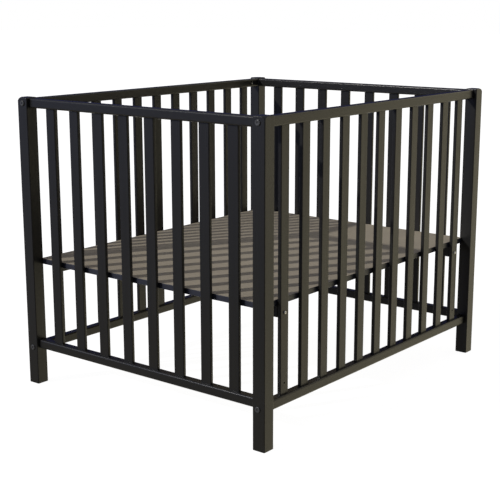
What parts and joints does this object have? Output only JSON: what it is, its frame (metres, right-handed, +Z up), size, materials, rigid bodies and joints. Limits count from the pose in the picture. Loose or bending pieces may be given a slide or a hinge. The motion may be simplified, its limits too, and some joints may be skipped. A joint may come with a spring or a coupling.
{
  "type": "playpen",
  "caption": "Rectangular slatted wooden playpen on four square posts, with bolted side panels and a flat lift-out deck resting on blocks at the upper of two heights.",
  "frame": {"origin": "on the floor under the middle of the playpen", "axes": "+X along the long sides, +Y across the ends, +Z up; left is -X, front is -Y"},
  "size_m": [1.035, 0.835, 0.7955],
  "materials": {
    "post_lacquer": "satin black lacquer on solid wood",
    "rail_lacquer": "satin black lacquer on solid wood",
    "slat_lacquer": "satin black lacquer on solid wood",
    "deck_board": "matt taupe coated board with a dark edge",
    "block_lacquer": "satin black lacquer on solid wood",
    "brass_insert": "plain turned brass",
    "zinc_bolt": "bright zinc plating",
    "black_bolt": "dark grey coated steel, slight gloss",
    "zinc_nut": "bright zinc plating",
    "beech_dowel": "plain beech"
  },
  "bodies": {
    "root": {"post_front_left": "post_lacquer", "post_front_right": "post_lacquer", "post_back_left": "post_lacquer", "post_back_right": "post_lacquer", "left_top_rail": "rail_lacquer", "left_bottom_rail": "rail_lacquer", "right_top_rail": "rail_lacquer", "right_bottom_rail": "rail_lacquer", "front_top_rail": "rail_lacquer", "front_bottom_rail": "rail_lacquer", "back_top_rail": "rail_lacquer", "back_bottom_rail": "rail_lacquer", "left_slat_1": "slat_lacquer", "left_slat_2": "slat_lacquer", "left_slat_3": "slat_lacquer", "left_slat_4": "slat_lacquer", "left_slat_5": "slat_lacquer", "left_slat_6": "slat_lacquer", "left_slat_7": "slat_lacquer", "left_slat_8": "slat_lacquer", "right_slat_1": "slat_lacquer", "right_slat_2": "slat_lacquer", "right_slat_3": "slat_lacquer", "right_slat_4": "slat_lacquer", "right_slat_5": "slat_lacquer", "right_slat_6": "slat_lacquer", "right_slat_7": "slat_lacquer", "right_slat_8": "slat_lacquer", "front_slat_1": "slat_lacquer", "front_slat_2": "slat_lacquer", "front_slat_3": "slat_lacquer", "front_slat_4": "slat_lacquer", "front_slat_5": "slat_lacquer", "front_slat_6": "slat_lacquer", "front_slat_7": "slat_lacquer", "front_slat_8": "slat_lacquer", "front_slat_9": "slat_lacquer", "front_slat_10": "slat_lacquer", "front_slat_11": "slat_lacquer", "back_slat_1": "slat_lacquer", "back_slat_2": "slat_lacquer", "back_slat_3": "slat_lacquer", "back_slat_4": "slat_lacquer", "back_slat_5": "slat_lacquer", "back_slat_6": "slat_lacquer", "back_slat_7": "slat_lacquer", "back_slat_8": "slat_lacquer", "back_slat_9": "slat_lacquer", "back_slat_10": "slat_lacquer", "back_slat_11": "slat_lacquer", "deck_blocks": "block_lacquer", "block_inserts": "brass_insert", "frame_bolts": "black_bolt", "barrel_nuts": "zinc_nut", "end_dowels": "beech_dowel"},
    "deck": {"deck_panel": "deck_board"},
    "base_bolt_front_left": {"base_bolt_front_left": "zinc_bolt"},
    "base_bolt_front_right": {"base_bolt_front_right": "zinc_bolt"},
    "base_bolt_back_left": {"base_bolt_back_left": "zinc_bolt"},
    "base_bolt_back_right": {"base_bolt_back_right": "zinc_bolt"}
  },
  "joints": [
    {"name": "deck_lift", "type": "slide", "parent": "root", "child": "deck", "axis": [0, 0, 1], "range_m": [0, 0.4]},
    {"name": "base_bolt_front_left_out", "type": "slide", "parent": "root", "child": "base_bolt_front_left", "axis": [0, -1, 0], "range_m": [0, 0.042]},
    {"name": "base_bolt_front_right_out", "type": "slide", "parent": "root", "child": "base_bolt_front_right", "axis": [0, -1, 0], "range_m": [0, 0.042]},
    {"name": "base_bolt_back_left_out", "type": "slide", "parent": "root", "child": "base_bolt_back_left", "axis": [0, 1, 0], "range_m": [0, 0.042]},
    {"name": "base_bolt_back_right_out", "type": "slide", "parent": "root", "child": "base_bolt_back_right", "axis": [0, 1, 0], "range_m": [0, 0.042]}
  ]
}
